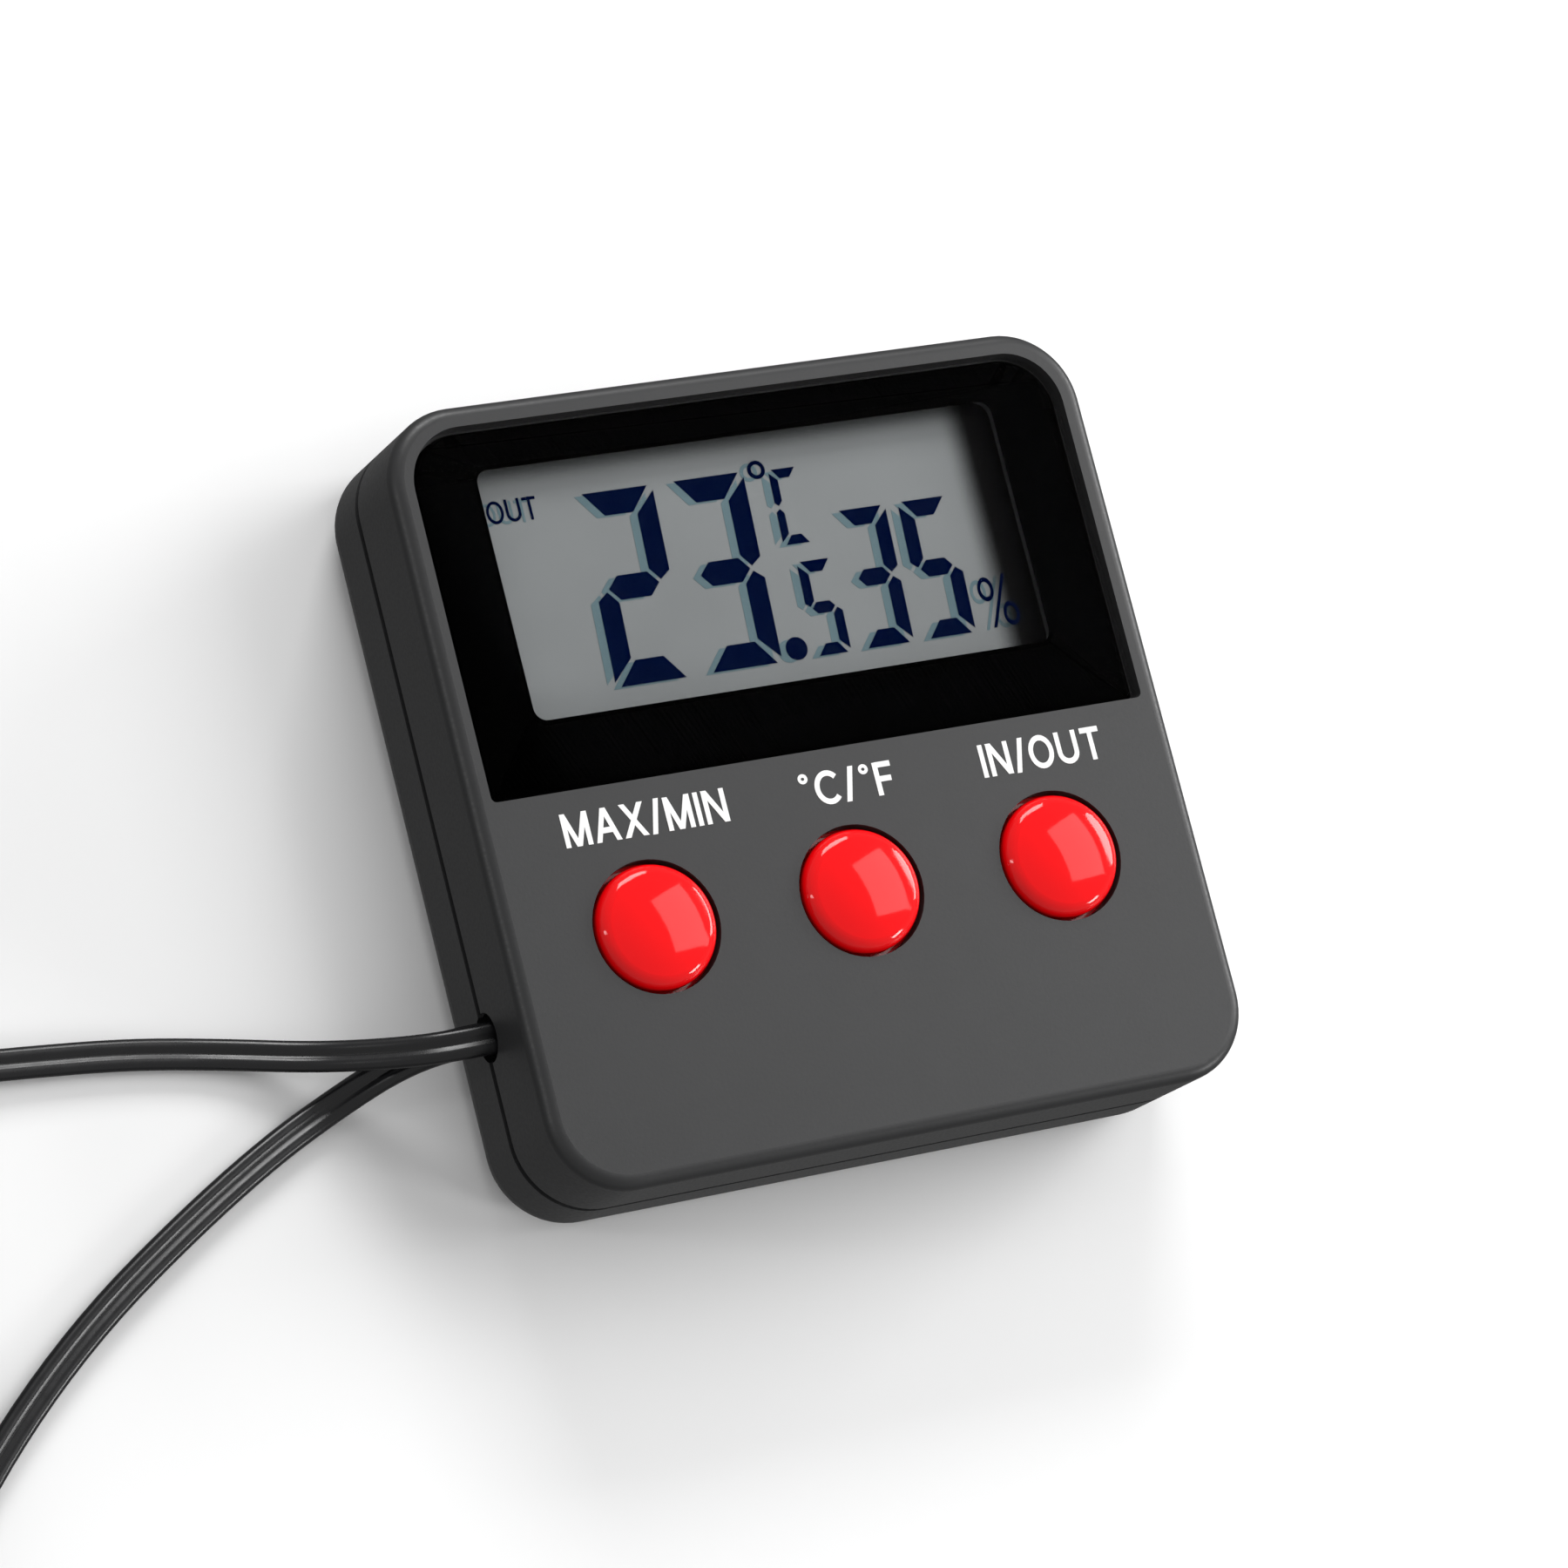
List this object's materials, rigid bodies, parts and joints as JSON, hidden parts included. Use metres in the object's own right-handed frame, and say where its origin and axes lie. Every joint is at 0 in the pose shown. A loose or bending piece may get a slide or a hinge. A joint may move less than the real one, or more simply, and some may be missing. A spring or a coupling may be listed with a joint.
{
  "type": "maximum minimum thermometer",
  "caption": "Small grey digital maximum-minimum thermometer and humidity meter with black glossy display lens, red push buttons and long flat probe leads.",
  "frame": {"origin": "middle of the flat rear face", "axes": "+Z out of the display, +Y to the display's top edge, +X to its right"},
  "size_m": [0.169, 0.1007, 0.0192],
  "materials": {
    "case_grey": "fine matt texture",
    "zinc_screw": "zinc plated",
    "clear_lens": "clear gloss",
    "black_film": "gloss",
    "display_grey": "satin",
    "cell_glass": "clear gloss",
    "reflector_film": "satin",
    "holder_plastic": "satin",
    "black_rubber": "matt",
    "board_green": "satin",
    "black_resin": "semi gloss",
    "nickel": "bright",
    "chip_body": "satin",
    "grey_rubber": "matt",
    "button_red": "satin gloss",
    "battery_jacket": "gloss",
    "wire_red": "satin",
    "wire_black": "satin",
    "lead_black": "semi gloss",
    "tie_black": "satin",
    "probe_black": "semi gloss",
    "bead_resin": "gloss",
    "sensor_board": "satin"
  },
  "bodies": {
    "case": {"front_cover": "case_grey", "rear_cover": "case_grey", "case_screws": "zinc_screw", "display_lens": "clear_lens", "lens_mask": "black_film", "lcd_front_polariser": "display_grey", "lcd_front_glass": "cell_glass", "lcd_rear_glass": "cell_glass", "lcd_reflector": "reflector_film", "lcd_holder": "holder_plastic", "zebra_strip": "black_rubber", "circuit_board": "board_green", "board_screws": "zinc_screw", "controller_blob": "black_resin", "timing_crystal": "nickel", "chip_components": "chip_body", "indoor_thermistor": "black_resin", "key_pad": "grey_rubber", "battery": "battery_jacket", "battery_plate": "nickel", "battery_spring": "nickel", "battery_wire_red": "wire_red", "battery_wire_black": "wire_black", "temperature_lead_tail": "lead_black", "temperature_lead": "lead_black", "temperature_lead_coil": "lead_black", "temperature_lead_tie": "tie_black", "temperature_lead_end": "lead_black", "temperature_probe": "probe_black", "temperature_bead": "bead_resin", "humidity_lead_tail": "lead_black", "humidity_lead": "lead_black", "humidity_lead_coil": "lead_black", "humidity_lead_tie": "tie_black", "humidity_lead_end": "lead_black", "humidity_probe_shell": "probe_black", "humidity_probe_cap": "probe_black", "humidity_sensor": "sensor_board"},
    "button_max_min": {"button_max_min": "button_red", "plunger_max_min": "grey_rubber", "pill_max_min": "black_rubber"},
    "button_units": {"button_units": "button_red", "plunger_units": "grey_rubber", "pill_units": "black_rubber"},
    "button_in_out": {"button_in_out": "button_red", "plunger_in_out": "grey_rubber", "pill_in_out": "black_rubber"},
    "battery_door": {"battery_door": "case_grey"},
    "stand": {"stand": "case_grey"}
  },
  "joints": [
    {"name": "press_max_min", "type": "slide", "parent": "case", "child": "button_max_min", "axis": [0, 0, -1], "range_m": [0, 0.001], "stiffness_N_per_m": 1500, "springref_m": -0.0003},
    {"name": "press_units", "type": "slide", "parent": "case", "child": "button_units", "axis": [0, 0, -1], "range_m": [0, 0.001], "stiffness_N_per_m": 1500, "springref_m": -0.0003},
    {"name": "press_in_out", "type": "slide", "parent": "case", "child": "button_in_out", "axis": [0, 0, -1], "range_m": [0, 0.001], "stiffness_N_per_m": 1500, "springref_m": -0.0003},
    {"name": "slide_battery_door", "type": "slide", "parent": "case", "child": "battery_door", "axis": [0, -1, 0], "range_m": [0, 0.014]},
    {"name": "fold_stand", "type": "hinge", "parent": "case", "child": "stand", "pos_m": [0, 0.021, 0.0015], "axis": [1, 0, 0], "range_deg": [0, 60]}
  ]
}
